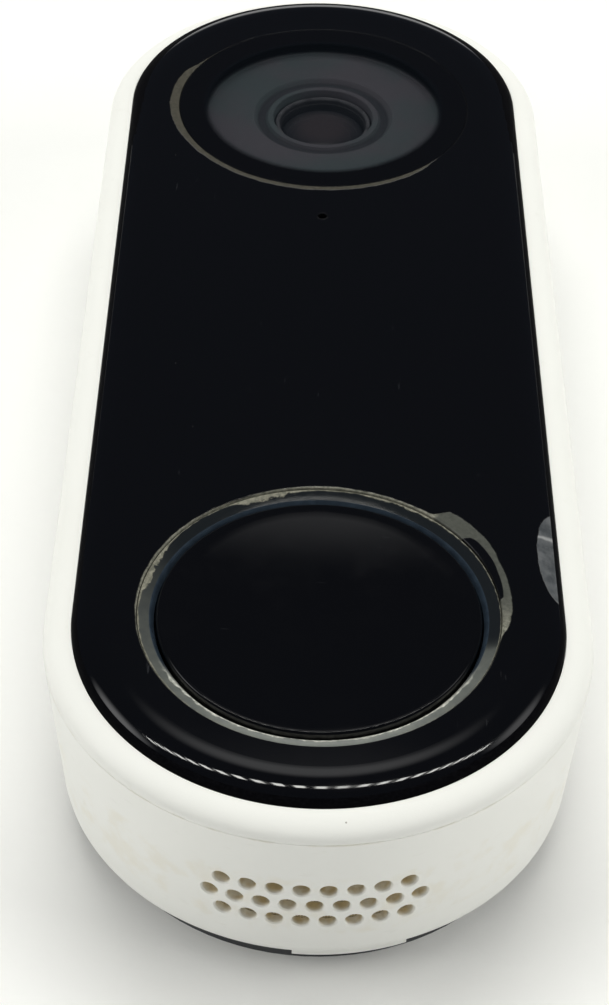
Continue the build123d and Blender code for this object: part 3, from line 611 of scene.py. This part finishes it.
def barrel_plastic():
    """Matt black lens barrel, rubbed lighter on its rim, with fine turned grooves."""
    f = Finish("barrel_black", (0.02, 0.02, 0.022), 0.45, ior=1.45)
    r, _ = f.polar(CAMERA)
    rub = f.math("MULTIPLY", f.band(r, 4.35, 4.75, 0.12), f.step(f.noise(1.0, 3), 0.3, 0.6, 0.4, 1.0))
    color = f.blend(rub, (0.03, 0.03, 0.034), (0.14, 0.14, 0.155))
    grooves = f.math("SINE", f.math("MULTIPLY", r, 45.0))
    return f.finish(color, f.step(f.noise(0.5, 3), 0.3, 0.7, 0.35, 0.55), f.bump(grooves, 0.008))


# Material families for the pieces that keep their CAD shape --------------------------------------
def moulded(name, color, roughness, grain=0.15):
    """Moulded plastic: fine grain, uneven sheen and light scuffs."""
    f = Finish(name, color, roughness, ior=1.46)
    worn = tuple(min(1.0, c * 1.5 + 0.02) for c in color)
    tone = f.blend(f.step(f.noise(5, 3), 0.35, 0.7, 0.0, 0.5), color, worn)
    tone = f.blend(f.math("MULTIPLY", f.step(f.noise(1.2, 4, (1, 1, 4)), 0.62, 0.75), 0.4), tone, worn)
    sheen = f.step(f.noise(3, 3), 0.3, 0.7, roughness - 0.06, roughness + 0.08)
    return f.finish(tone, sheen, f.bump(f.noise(grain, 2), 0.01))


def metal(name, color, roughness, stretch=(1, 14, 1)):
    """Brushed or plated metal with drawn lines and faint tarnish."""
    f = Finish(name, color, roughness, metallic=1.0)
    dull = tuple(c * 0.62 for c in color)
    tone = f.blend(f.step(f.noise(2.5, 4), 0.45, 0.75, 0.0, 0.6), color, dull)
    lines = f.noise(0.12, 3, stretch)
    sheen = f.step(lines, 0.3, 0.7, roughness - 0.08, roughness + 0.12)
    return f.finish(tone, sheen, f.bump(lines, 0.004))


def rubber(name, color, roughness):
    """Soft rubber or silicone with a dusty bloom."""
    f = Finish(name, color, roughness, ior=1.42)
    bloom = tuple(min(1.0, c * 1.3 + 0.04) for c in color)
    tone = f.blend(f.step(f.noise(1.6, 4), 0.4, 0.75, 0.0, 0.6), color, bloom)
    sheen = f.step(f.noise(2, 3), 0.3, 0.7, roughness - 0.05, roughness + 0.1)
    return f.finish(tone, sheen, f.bump(f.noise(0.3, 3), 0.02))


def board(name, color):
    """Solder mask over copper tracks, with the glass weave just showing."""
    f = Finish(name, color, 0.3, ior=1.5, coat_weight=0.4)
    x, y, _ = f.axes()
    raised = tuple(c * 1.9 + 0.01 for c in color)
    cells = f.add("ShaderNodeTexBrick", offset=0.35)
    f.set(cells, "Vector", f.spot)
    f.set(cells, "Scale", 0.45)
    f.set(cells, "Mortar Size", 0.04)
    tracks = cells.outputs["Fac"]
    waves = [f.math("SINE", f.math("MULTIPLY", axis, 14.0)) for axis in (x, y)]
    weave = f.math("MULTIPLY", *waves)
    tone = f.blend(f.math("MULTIPLY", tracks, 0.8), color, raised)
    tone = f.blend(f.step(weave, 0.2, 1.0, 0.0, 0.15), tone, raised)
    return f.finish(tone, f.step(f.noise(4, 3), 0.3, 0.7, 0.22, 0.38), f.bump(tracks, 0.03))


def clear_part(name, color, alpha):
    """Thin glass or clear resin with a faint tint and cleaning haze."""
    f = Finish(name, color, 0.05, ior=1.5, alpha=alpha)
    tint = f.blend(f.step(f.noise(2, 3), 0.35, 0.7), color, tuple(c * 0.8 for c in color))
    return f.finish(tint, f.step(f.noise(1.5, 3), 0.3, 0.7, 0.03, 0.12), f.bump(f.noise(3, 1), 0.002))


def woven(name, thread, gap):
    """Fine screen: crossed round threads in rows along the wall and up it."""
    f = Finish(name, thread, 0.7, ior=1.4)
    x, _, z = f.axes()
    threads = [f.math("ABSOLUTE", f.math("SINE", f.math("MULTIPLY", axis, 14.0))) for axis in (x, z)]
    height = f.math("MAXIMUM", *threads)
    tone = f.blend(f.step(height, 0.5, 0.95), gap, thread)
    tone = f.blend(f.step(f.noise(1.5, 4), 0.4, 0.7, 0.0, 0.5), tone, tuple(c * 0.5 for c in thread))
    return f.finish(tone, f.step(height, 0.4, 1.0, 0.85, 0.6), f.bump(height, 0.05))


def slot_materials():
    """One finish for each material slot of the record."""
    return {
        "white_plastic": white_plastic(),
        "black_gloss": panel_gloss(),
        "window_glass": window_glass(),
        "lens_glass": clear_part("lens_clear", (0.75, 0.76, 0.85), 0.35),
        "black_plastic": moulded("plastic_black", (0.018, 0.018, 0.02), 0.45),
        "cap_plastic": cap_gloss(),
        "light_guide": ring_guide(),
        "shroud_plastic": shroud_plastic(),
        "dark_grey_plastic": moulded("plastic_dark_grey", (0.035, 0.037, 0.04), 0.5, 0.25),
        "rubber_black": rubber("rubber_black", (0.02, 0.02, 0.02), 0.7),
        "silicone": rubber("silicone_pale", (0.5, 0.5, 0.5), 0.45),
        "circuit_board": board("board_green", (0.01, 0.10, 0.04)),
        "black_board": board("board_black", (0.012, 0.012, 0.015)),
        "steel": metal("steel_plated", (0.56, 0.56, 0.57), 0.3),
        "aluminium": metal("aluminium_satin", (0.78, 0.79, 0.8), 0.36),
        "brass": metal("brass_plated", (0.72, 0.55, 0.27), 0.28),
        "led_white": clear_part("led_resin", (0.9, 0.87, 0.7), 0.85),
        "flex_film": moulded("film_amber", (0.42, 0.24, 0.05), 0.3, 0.5),
        "cone_paper": rubber("cone_paper", (0.06, 0.06, 0.06), 0.8),
        "mesh_fabric": woven("screen_woven", (0.62, 0.52, 0.33), (0.24, 0.18, 0.09)),
    }


# Body --------------------------------------------------------------------------------------------
def hermite(start, start_dir, end, end_dir, steps):
    """Points on a cubic from start to end, with tangents as long as the chord."""
    a, b = Vector(start), Vector(end)
    reach = (b - a).length
    ta, tb = Vector(start_dir).normalized() * reach, Vector(end_dir).normalized() * reach
    points = []
    for i in range(steps + 1):
        t = i / steps
        points.append(a * (2 * t**3 - 3 * t**2 + 1) + ta * (t**3 - 2 * t**2 + t)
                      + b * (3 * t**2 - 2 * t**3) + tb * (t**3 - t**2))
    return points


def grille_cutter():
    """Twenty-five radial holes through the end wall, each flared where it leaves the wall."""
    bm = bmesh.new()
    flared_r = GRILLE_HOLE_R + 0.32
    turns = [math.tau * step / GRILLE_SIDES for step in range(GRILLE_SIDES)]
    for row_z, count in GRILLE_ROWS:
        wall = FOOT_R + (BODY_R - FOOT_R) * (row_z - FOOT_Z) / (SEAM_Z - FOOT_Z)
        for i in range(count):
            angle = (i - (count - 1) / 2) * GRILLE_STEP
            out = Vector((math.sin(angle), -math.cos(angle), 0))
            side = Vector((math.cos(angle), math.sin(angle), 0))
            spokes = [side * math.cos(a) + Vector((0, 0, math.sin(a))) for a in turns]
            stops = ((BORE_R - 0.6, GRILLE_HOLE_R), (wall - 0.16, GRILLE_HOLE_R), (wall + 0.3, flared_r))
            rows = []
            for reach, radius in stops:
                centre = Vector((0, -SPAN, row_z)) + out * reach
                rows.append([bm.verts.new(centre + radius * spoke) for spoke in spokes])
            for a, b in zip(rows, rows[1:]):
                for j in range(GRILLE_SIDES):
                    k = (j + 1) % GRILLE_SIDES
                    bm.faces.new((a[j], a[k], b[k], b[j]))
            bm.faces.new(rows[0])
            bm.faces.new(rows[-1])
    return bm


def pocket_cutter():
    """Shallow recess in the inner face behind the grille, where the speaker mesh sits."""
    bm = bmesh.new()
    inner_r = BORE_R - 0.5
    low, high = POCKET_LOW, POCKET_HIGH
    corners = ((inner_r, low), (POCKET_R, low), (POCKET_R, high), (inner_r, high))
    capped_sweep(bm, end_stations(-90 - POCKET_HALF, 2 * POCKET_HALF, 40), corners)
    return bm


def back_shell(material):
    """Tapered white wall with a rolled rear edge, the speaker holes and the small tab at the rear."""
    bm = bmesh.new()
    width, height = BODY_R - FOOT_R, SEAM_Z - FOOT_Z
    corners = [(BORE_R, FOOT_Z, 0.1), (FOOT_R, FOOT_Z, 1.7)]
    corners += [(FOOT_R + width * t / 12, FOOT_Z + height * t / 12, 0) for t in range(3, 12)]
    corners += [(BODY_R, SEAM_Z + 0.02, 0.05), (BORE_R, SEAM_Z + 0.02, 0)]
    skin(bm, racetrack_stations(), rounded(corners, 7))
    wall = make_piece("shell_wall_white", bm, material, "back_shell")
    cut(wall, pocket_cutter())
    cut(wall, grille_cutter())
    smooth_shading(wall.data, 28)
    add_tab(wall.data.materials[0])
    return even_shading(wall)


def add_tab(material):
    """Small tab that stands below the rear edge, a little right of the middle of the button end."""
    low, high = shell_low.z, FOOT_Z + 0.4
    inner, outer = BORE_R + 0.02, BORE_R + 0.4
    profile = rounded([(inner, low, 0.1), (outer, low, 0.15), (outer, high, 0), (inner, high, 0)])
    bm = bmesh.new()
    capped_sweep(bm, end_stations(TAB_START, TAB_SWEEP, 24), profile)
    make_piece("shell_rear_tab", bm, material, "back_shell")


def front_shell(material):
    """White shoulder that rolls over from the seam to the panel."""
    lip_r, lip_z = PANEL_R + 0.08, PANEL_EDGE + 0.02
    shoulder = hermite((BODY_R, SEAM_Z + 0.09), (0, 1), (lip_r, lip_z), (-1, 0.12), 22)
    inner_r, spigot_r, spigot_z, ledge_z = 18.4, BORE_R - 0.08, 15.2, PANEL_BACK - 0.02
    profile = [(inner_r, spigot_z), (spigot_r, spigot_z), (spigot_r, SEAM_Z + 0.05),
               (BODY_R - 0.05, SEAM_Z + 0.05), (BODY_R - 0.015, SEAM_Z + 0.06)]
    profile += shoulder + [(lip_r - 0.02, lip_z - 0.06), (lip_r, ledge_z), (inner_r, ledge_z)]
    bm = bmesh.new()
    skin(bm, racetrack_stations(), profile)
    return make_piece("shell_shoulder_white", bm, material, "front_shell")


def opening(radius, rounding, back):
    """Rounded top edge and wall of a round opening, from the panel's face down."""
    return rounded([(radius + 2, PANEL_TOP, 0), (radius, PANEL_TOP, rounding), (radius, back, 0)])[1:]


def finish_panel_faces(panel):
    """Flat shading on the panel's face, and the unpolished material on the outer strip of its rim."""
    for face in panel.data.polygons:
        spot = face.center / MM
        if face.normal.z > 0.99999:
            face.use_smooth = False
        beyond_end = max(abs(spot.y) - SPAN, 0.0)
        share = min(max((spot.y - EDGE_WIDENS_FROM) / EDGE_WIDENS_OVER, 0.0), 1.0)
        strip = EDGE_NEAR + share * (EDGE_FAR - EDGE_NEAR)
        if math.hypot(spot.x, beyond_end) > PANEL_R - strip:
            face.material_index = 1


def front_panel(material, edge_material):
    """Gloss panel: flat face, quarter-ellipse rim, and openings for window, ring and microphone."""
    bm = bmesh.new()
    flat_r, back_r, rim_height = PANEL_R - BEVEL, PANEL_R - 0.1, PANEL_TOP - PANEL_EDGE
    turns = [math.pi / 2 * (1 - step / 26) for step in range(27)]
    rim = [(flat_r + BEVEL * math.cos(t), PANEL_EDGE + rim_height * math.sin(t)) for t in turns]
    rim += [(PANEL_R, PANEL_BACK + 0.1), (back_r, PANEL_BACK)]
    rail = racetrack_stations()
    skin(bm, rail, rim, closed=False)

    seat_z, throat_r = window_low.z - 0.1, 12.6
    openings = (
        (BUTTON, opening(RING_HOLE_R, 0.12, PANEL_BACK)),
        (CAMERA, opening(WINDOW_R + 0.05, 0.04, seat_z) + [(throat_r, seat_z), (throat_r, PANEL_BACK)]),
        (MICROPHONE, opening(0.45, 0.08, PANEL_BACK)),
    )
    top_holes, back_holes = [], []
    for centre, profile in openings:
        stations = turned_stations(centre)
        skin(bm, stations, profile, closed=False)
        for holes, r in ((top_holes, profile[0][0]), (back_holes, profile[-1][0])):
            holes.append((centre, r, loop_at(stations, r)))
    fill_flat(bm, loop_at(rail, flat_r), top_holes, PANEL_TOP)
    fill_flat(bm, loop_at(rail, back_r), back_holes, PANEL_BACK)
    panel = make_piece("panel_gloss", bm, material, "front_panel")
    panel.data.materials.append(edge_material)
    finish_panel_faces(panel)
    return even_shading(panel)


# Camera and button -------------------------------------------------------------------------------
def camera_pieces(finish):
    """Window pane, shroud with its cone, barrel and domed front lens."""
    back = window_low.z
    turned_piece("camera_window_pane", CAMERA, [
        (0, WINDOW_TOP, 0), (0, back, 0), (WINDOW_R, back, 0.05), (WINDOW_R, WINDOW_TOP, 0.04),
    ], finish["window_glass"], "camera_window")
    bore_r, wall_r, skirt_r = 4.9, 11.5, 12.3
    foot, step, lip, face, top = 13.2, 17.45, 17.85, 18.05, 18.2
    turned_piece("camera_shroud_cone", CAMERA, [
        (wall_r, foot, 0), (skirt_r, foot, 0), (skirt_r, top, 0.1), (wall_r + 0.05, top, 0.1),
        (wall_r, face, 0.05), (6.95, face, 0.3), (6.45, step, 0.25), (5.8, step, 0.2), (5.55, lip, 0.12),
        (5.0, lip, 0.12), (bore_r, 17.3, 0), (bore_r, 16.9, 0), (7.0, 16.9, 0), (wall_r, 17.3, 0),
    ], finish["shroud_plastic"], "camera_shroud", 3)
    small_r, bore_r, mouth_r, barrel_r = 2.2, 2.65, 4.2, 4.8
    foot, seat, top = 10.5, 14.7, barrel_high.z
    turned_piece("lens_barrel_rim", CAMERA, [
        (small_r, foot, 0), (barrel_r, foot, 0), (barrel_r, top, 0.15), (4.45, top, 0.05),
        (4.3, top - 0.2, 0.04), (4.3, top - 0.5, 0.04), (mouth_r, top - 0.6, 0.04), (mouth_r, seat, 0),
        (bore_r, seat, 0), (bore_r, foot + 0.5, 0), (small_r, foot + 0.5, 0),
    ], finish["barrel"], "lens_barrel", 3)
    lens_r, dome_z, dome_height = 4.15, 15.8, 0.95
    turns = [math.pi / 2 * step / 24 for step in range(24, -1, -1)]
    profile = [(0, lens_low.z), (lens_r, lens_low.z)]
    profile += [(lens_r * math.sin(t), dome_z + dome_height * math.cos(t)) for t in turns]
    bm = bmesh.new()
    skin(bm, turned_stations(CAMERA), profile)
    make_piece("front_lens_dome", bm, finish["lens"], "front_lens")


def button_pieces(finish):
    """Light ring with its scraped inner slope, and the dished cap with its flange and boss."""
    bore_r, skirt_r, slope_r, foot, back = 12.86, 13.6, RING_R - 0.95, 17.0, ring_low.z
    turned_piece("light_ring_guide", BUTTON, [
        (bore_r, foot, 0), (bore_r, RING_TOP - 0.85, 0.05), (slope_r, RING_TOP - 0.37, 0.05),
        (RING_R, RING_TOP, 0.06), (RING_R, back, 0.05), (skirt_r, back, 0.05), (skirt_r, foot, 0),
    ], finish["light_guide"], "light_ring", 6)
    dish_r, flange_r, hollow_r, boss_r = CAP_R - 0.45, 13.4, 11.5, 2.4
    flange_low, flange_top, hollow_z = 16.1, 16.7, 17.7
    shares = [step / 20 for step in range(19, -1, -1)]
    dish = [(dish_r * share, CAP_TOP - CAP_DISH * (1 - share ** 2), 0) for share in shares]
    turned_piece("button_cap_disc", BUTTON, [
        (flange_r, flange_low, 0.05), (flange_r, flange_top, 0.1), (CAP_R, flange_top, 0),
        (CAP_R, CAP_TOP, 0.3), *dish,
        (0, cap_low.z, 0), (boss_r, cap_low.z, 0.2), (boss_r, hollow_z, 0), (hollow_r, hollow_z, 0),
        (hollow_r, flange_low, 0),
    ], finish["cap_plastic"], "button_cap", 6)


# Stage, lights and camera ------------------------------------------------------------------------
def floor():
    """Pale table that curves up into a low backdrop far from the object."""
    f = Finish("table_white", (0.9, 0.9, 0.885), 0.6)
    cloud = f.step(f.noise(160, 3), 0.35, 0.65)
    color = f.blend(cloud, (0.90, 0.90, 0.885), (0.915, 0.912, 0.90))
    material = f.finish(color, None, f.bump(f.noise(1.2, 3), 0.02))
    profile = [(r, 0.0) for r in (0.0, 40, 80, 160, 320, 640, TABLE_R)]
    turns = [math.pi / 2 * step / 12 for step in range(1, 13)]
    profile += [(TABLE_R + TABLE_CURVE * math.sin(t), TABLE_CURVE * (1 - math.cos(t))) for t in turns]
    bm = bmesh.new()
    skin(bm, turned_stations((0.0, 0.0), 96), profile, closed=False)
    bmesh.ops.remove_doubles(bm, verts=bm.verts, dist=0.01)
    table = mesh_object("table", bm)
    table.data.materials.append(material)
    table.data.shade_smooth()


WARM = (1.0, 1.0, 0.955)
SURROUND = (0.026, 0.031, 0.042)


def soften(data):
    """Fade an area light from its middle to nothing at its rim."""
    full_to, gone_at = 0.12, 0.5  # distances from the middle, as shares of the light's size
    data.use_nodes = True
    nodes, links = data.node_tree.nodes, data.node_tree.links
    emission = nodes["Emission"]
    surface = nodes.new("ShaderNodeNewGeometry")
    centred = nodes.new("ShaderNodeVectorMath")
    centred.operation = "SUBTRACT"
    centred.inputs[1].default_value = (0.5, 0.5, 0.0)
    reach = nodes.new("ShaderNodeVectorMath")
    reach.operation = "LENGTH"
    fade = nodes.new("ShaderNodeMapRange")
    fade.interpolation_type = "SMOOTHSTEP"
    fade.inputs["From Min"].default_value, fade.inputs["From Max"].default_value = full_to, gone_at
    fade.inputs["To Min"].default_value, fade.inputs["To Max"].default_value = 1.0, 0.0
    links.new(surface.outputs["Parametric"], centred.inputs[0])
    links.new(centred.outputs["Vector"], reach.inputs[0])
    links.new(reach.outputs["Value"], fade.inputs["Value"])
    links.new(fade.outputs["Result"], emission.inputs["Strength"])


def area_light(name, spot, size, power, tint):
    """Rectangular light that shines straight down."""
    data = bpy.data.lights.new(name, "AREA")
    data.shape, data.size, data.size_y = "RECTANGLE", size[0], size[1]
    data.energy, data.color = power, tint
    light = bpy.data.objects.new(name, data)
    light.location = spot
    bpy.context.scene.collection.objects.link(light)
    return light


def softbox(name, spot, target, size, power, mirrored=False, tint=(1, 1, 1)):
    """Light aimed at a point. Glossy surfaces show it only when mirrored, and then it fades to its rim."""
    light = area_light(name, spot, size, power, tint)
    light.rotation_euler = (Vector(target) - Vector(spot)).to_track_quat("-Z", "Y").to_euler()
    light.visible_glossy = mirrored
    if mirrored:
        soften(light.data)


def lamp_arc():
    """Long shallow arc of bright strips overhead, mirrored in the near bevel as a string of glints."""
    height, near_y, radius, half_angle, count = 0.6, 0.03, 1.5, math.radians(13.9), 23
    shift_x, strip, power = 0.013, (0.017, 0.045), 0.03
    for i in range(count):
        angle = half_angle * (2 * i / (count - 1) - 1)
        spot = (shift_x + radius * math.sin(angle), near_y + radius * (1 - math.cos(angle)), height)
        area_light(f"string_lamp_{i:02d}", spot, strip, power, WARM)


def lights():
    """Lights for the white body, glows for the gloss, the string of lamps and the dim surround."""
    softbox("key_overhead", (0.0, 0.32, 0.56), (0, -0.01, 0), (0.5, 0.36), 2.8, tint=WARM)
    softbox("fill_left", (-0.62, -0.10, 0.32), (0, 0, 0.01), (0.4, 0.35), 1.7, tint=WARM)
    softbox("fill_right", (0.62, -0.10, 0.32), (0, 0, 0.01), (0.4, 0.35), 1.9, tint=WARM)
    softbox("fill_front", (0.0, -0.52, 0.40), (0, -0.03, 0), (0.7, 0.3), 0.75, tint=WARM)
    softbox("glow_overhead", (0.0, 0.33, 0.60), (0, -0.03, 0), (0.36, 0.24), 0.19, mirrored=True)
    softbox("glow_left", (-0.56, 0.09, 0.53), (0, 0, 0), (0.46, 0.42), 1.05, mirrored=True)
    softbox("glow_right", (0.54, 0.12, 0.53), (0, 0, 0), (0.40, 0.40), 0.50, mirrored=True)
    softbox("far_panel", (0.0, 0.95, 0.16), (0, 0, 0.01), (1.5, 0.26), 0.9, mirrored=True)
    lamp_arc()
    world = bpy.data.worlds.new("studio")
    world.use_nodes = True
    background = world.node_tree.nodes["Background"]
    background.inputs["Color"].default_value = (*SURROUND, 1)
    bpy.context.scene.world = world


def camera():
    """Camera over the button end, looking down along the object."""
    spot, yaw, pitch, roll = (-0.00213, -0.16708, 0.147785), 0.006, 0.734, 0.0245
    forward = Vector((math.sin(yaw) * math.cos(pitch), math.cos(yaw) * math.cos(pitch), -math.sin(pitch)))
    level = Vector((math.cos(yaw), -math.sin(yaw), 0.0))
    upright = level.cross(forward)
    right = math.cos(roll) * level + math.sin(roll) * upright
    up = math.cos(roll) * upright - math.sin(roll) * level
    data = bpy.data.cameras.new("camera")
    data.lens, data.sensor_width, data.clip_start = 84.30, 36.0, 0.01
    view = bpy.data.objects.new("camera", data)
    aim = Matrix((right, up, -forward)).transposed().to_4x4()
    view.matrix_world = Matrix.Translation(spot) @ aim
    bpy.context.scene.collection.objects.link(view)
    bpy.context.scene.camera = view
    bpy.context.scene.view_settings.view_transform = "Standard"


# Assembly ----------------------------------------------------------------------------------------
def dress_cad_nodes(finish):
    """Gives every node that keeps its CAD shape the finish of its material slot."""
    for name, node in frame["nodes"].items():
        if not node.hide_render:
            node.data.materials.clear()
            node.data.materials.append(finish[node_slot[name]])


finish = slot_materials()
finish["lens"] = lens_coating()
finish["barrel"] = barrel_plastic()
finish["panel_edge"] = ground_edge()
back_shell(finish["white_plastic"])
front_shell(finish["white_plastic"])
front_panel(finish["black_gloss"], finish["panel_edge"])
camera_pieces(finish)
button_pieces(finish)
dress_cad_nodes(finish)
floor()
lights()
camera()
